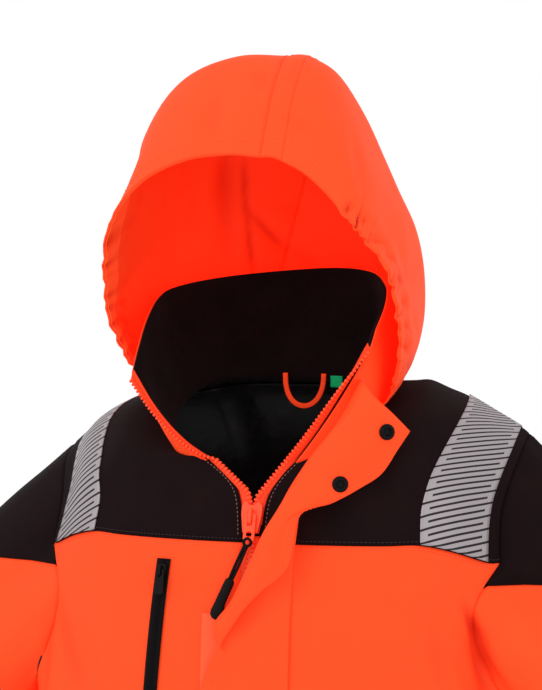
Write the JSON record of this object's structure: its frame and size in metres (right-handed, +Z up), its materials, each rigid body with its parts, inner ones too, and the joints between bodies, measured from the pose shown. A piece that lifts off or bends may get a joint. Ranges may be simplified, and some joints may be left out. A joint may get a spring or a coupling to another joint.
{
  "type": "hooded work jacket",
  "caption": "Hooded two-colour work jacket in its worn hollow form, with stand collar, part-open front zip, turned-back storm flap, chest pocket zip and shoulder tape.",
  "frame": {"origin": "middle of the neck base at shoulder height, where the wearer's shoulders carry the jacket", "axes": "+X towards the wearer's left, -Y towards the front, +Z up"},
  "size_m": [0.842, 0.3137, 1.0244],
  "materials": {
    "shell_orange": "fluorescent orange coated twill",
    "panel_black": "black coated twill",
    "fleece_black": "brushed black fleece",
    "lining_black": "smooth black lining with a soft sheen",
    "zip_orange": "moulded zip in the shell's orange",
    "zip_black": "black pocket zip",
    "puller_black": "black cord puller with a moulded grip",
    "snap_dark": "dark coated snap",
    "hook_orange": "ribbed hook strip",
    "label_green": "woven green label, bare",
    "reflective_silver": "segmented silver reflective tape"
  },
  "bodies": {
    "garment": {"yoke_front_right": "panel_black", "yoke_front_left": "panel_black", "yoke_back": "panel_black", "front_right": "shell_orange", "front_left": "shell_orange", "back": "shell_orange", "sleeve_cap_right": "panel_black", "sleeve_cap_left": "panel_black", "sleeve_right": "shell_orange", "sleeve_left": "shell_orange", "lining_back": "lining_black", "collar_inner": "fleece_black", "collar_outer": "shell_orange", "hood_right": "shell_orange", "hood_left": "shell_orange", "hood_center": "shell_orange", "hood_facing": "shell_orange", "storm_flap": "shell_orange", "snap_upper": "snap_dark", "snap_lower": "snap_dark", "zip_tape_right": "zip_orange", "zip_tape_left": "zip_orange", "zip_closed": "zip_orange", "zip_slider": "zip_orange", "pocket_zip": "zip_black", "pocket_slider": "zip_black", "hook_strip": "hook_orange", "hanger_loop": "shell_orange", "label": "label_green", "reflect_right": "reflective_silver", "reflect_left": "reflective_silver"},
    "zip_pull": {"zip_tab": "zip_orange", "zip_puller": "puller_black"},
    "pocket_pull": {"pocket_tab": "zip_black"}
  },
  "joints": [
    {"name": "zip_tab_hinge", "type": "hinge", "parent": "garment", "child": "zip_pull", "pos_m": [0.005, -0.13766, -0.09395], "axis": [-1, 0, 0], "range_deg": [0, 120]},
    {"name": "pocket_tab_hinge", "type": "hinge", "parent": "garment", "child": "pocket_pull", "pos_m": [-0.06971, -0.14638, -0.14094], "axis": [-1, 0, 0], "range_deg": [0, 120]}
  ]
}
